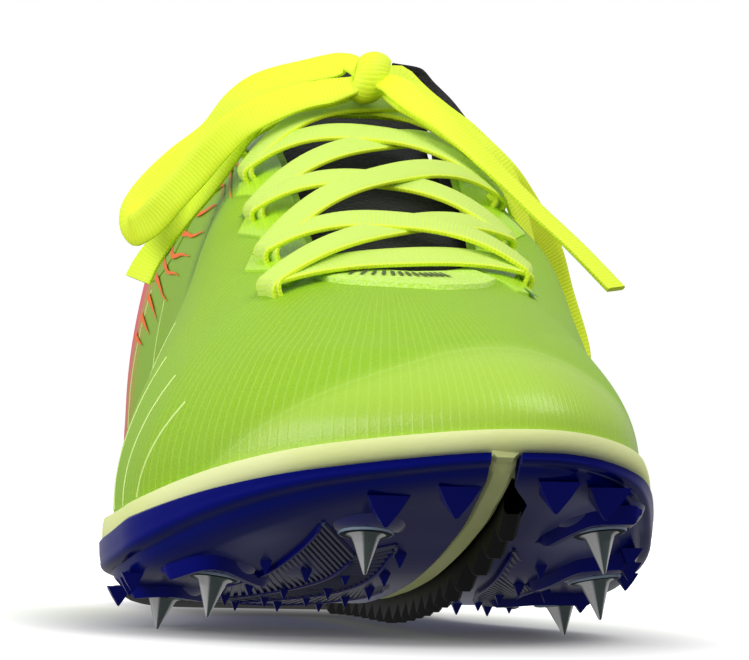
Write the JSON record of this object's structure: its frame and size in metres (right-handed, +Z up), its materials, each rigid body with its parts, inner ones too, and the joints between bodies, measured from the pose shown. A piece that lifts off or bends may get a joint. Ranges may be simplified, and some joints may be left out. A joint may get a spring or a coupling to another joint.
{
  "type": "track spike shoe",
  "caption": "Right track sprint spike in lime mesh with a pale foam midsole, a blue forefoot spike plate with steel pins and a yellow bow-tied lace.",
  "frame": {"origin": "centre of the flat patch under the heel, where the shoe meets the floor", "axes": "+Y towards the heel's back (toe at -Y), +X towards the medial side of this right shoe, +Z up"},
  "size_m": [0.1039, 0.2754, 0.1141],
  "materials": {
    "lime_mesh": "thin engineered mesh under a clear film, semi-gloss",
    "lime_overlay": "heat-pressed film, semi-gloss",
    "pale_band": "stitched band, matt",
    "pale_foam": "smooth moulded foam, matt",
    "blue_plate": "moulded, glossy",
    "black_rubber": "moulded, satin",
    "black_lining": "knitted, matt",
    "spike_steel": "polished",
    "yellow_lace": "flat woven, fine cross rib"
  },
  "bodies": {
    "root": {"midsole": "pale_foam", "insole": "black_lining", "upper": "lime_mesh", "tongue": "black_lining", "plate_lateral": "blue_plate", "plate_medial": "blue_plate", "heel_pad": "black_rubber", "spine_strip": "black_rubber", "spike_lateral_front": "spike_steel", "spike_lateral_middle": "spike_steel", "spike_lateral_rear": "spike_steel", "spike_medial_front": "spike_steel", "spike_medial_middle": "spike_steel", "spike_medial_rear": "spike_steel", "eyestay_lateral": "lime_overlay", "eyestay_medial": "lime_overlay", "vamp_band": "pale_band", "collar_cuff": "lime_mesh", "lace_crossings": "yellow_lace", "lace_knot": "yellow_lace", "lace_loop_lateral": "yellow_lace", "lace_end_lateral": "yellow_lace", "lace_loop_medial": "yellow_lace", "lace_end_medial": "yellow_lace"}
  },
  "joints": []
}
